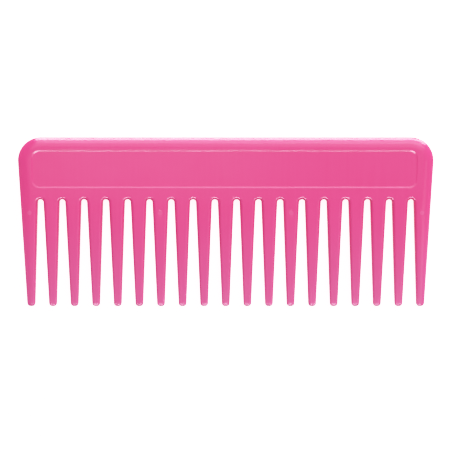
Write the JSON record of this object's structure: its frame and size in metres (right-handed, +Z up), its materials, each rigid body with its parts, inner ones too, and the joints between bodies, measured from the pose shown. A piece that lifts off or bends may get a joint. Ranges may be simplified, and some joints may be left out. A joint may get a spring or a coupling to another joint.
{
  "type": "wide tooth comb",
  "caption": "Flat one-piece plastic comb with no handle: a straight spine with a recessed panel and widely spaced tapered teeth with round tips, for detangling hair.",
  "frame": {"origin": "on the surface that the comb lies on, under the centre of its outline's box", "axes": "+X runs along the comb, +Y points from the tooth tips to the back of the spine, +Z is up through the comb's thickness"},
  "size_m": [0.1562, 0.0642, 0.0046],
  "materials": {
    "comb_plastic": "smooth glossy moulded pink plastic, slightly translucent"
  },
  "bodies": {
    "root": {"spine": "comb_plastic", "tooth_01": "comb_plastic", "tooth_02": "comb_plastic", "tooth_03": "comb_plastic", "tooth_04": "comb_plastic", "tooth_05": "comb_plastic", "tooth_06": "comb_plastic", "tooth_07": "comb_plastic", "tooth_08": "comb_plastic", "tooth_09": "comb_plastic", "tooth_10": "comb_plastic", "tooth_11": "comb_plastic", "tooth_12": "comb_plastic", "tooth_13": "comb_plastic", "tooth_14": "comb_plastic", "tooth_15": "comb_plastic", "tooth_16": "comb_plastic", "tooth_17": "comb_plastic", "tooth_18": "comb_plastic", "tooth_19": "comb_plastic"}
  },
  "joints": []
}
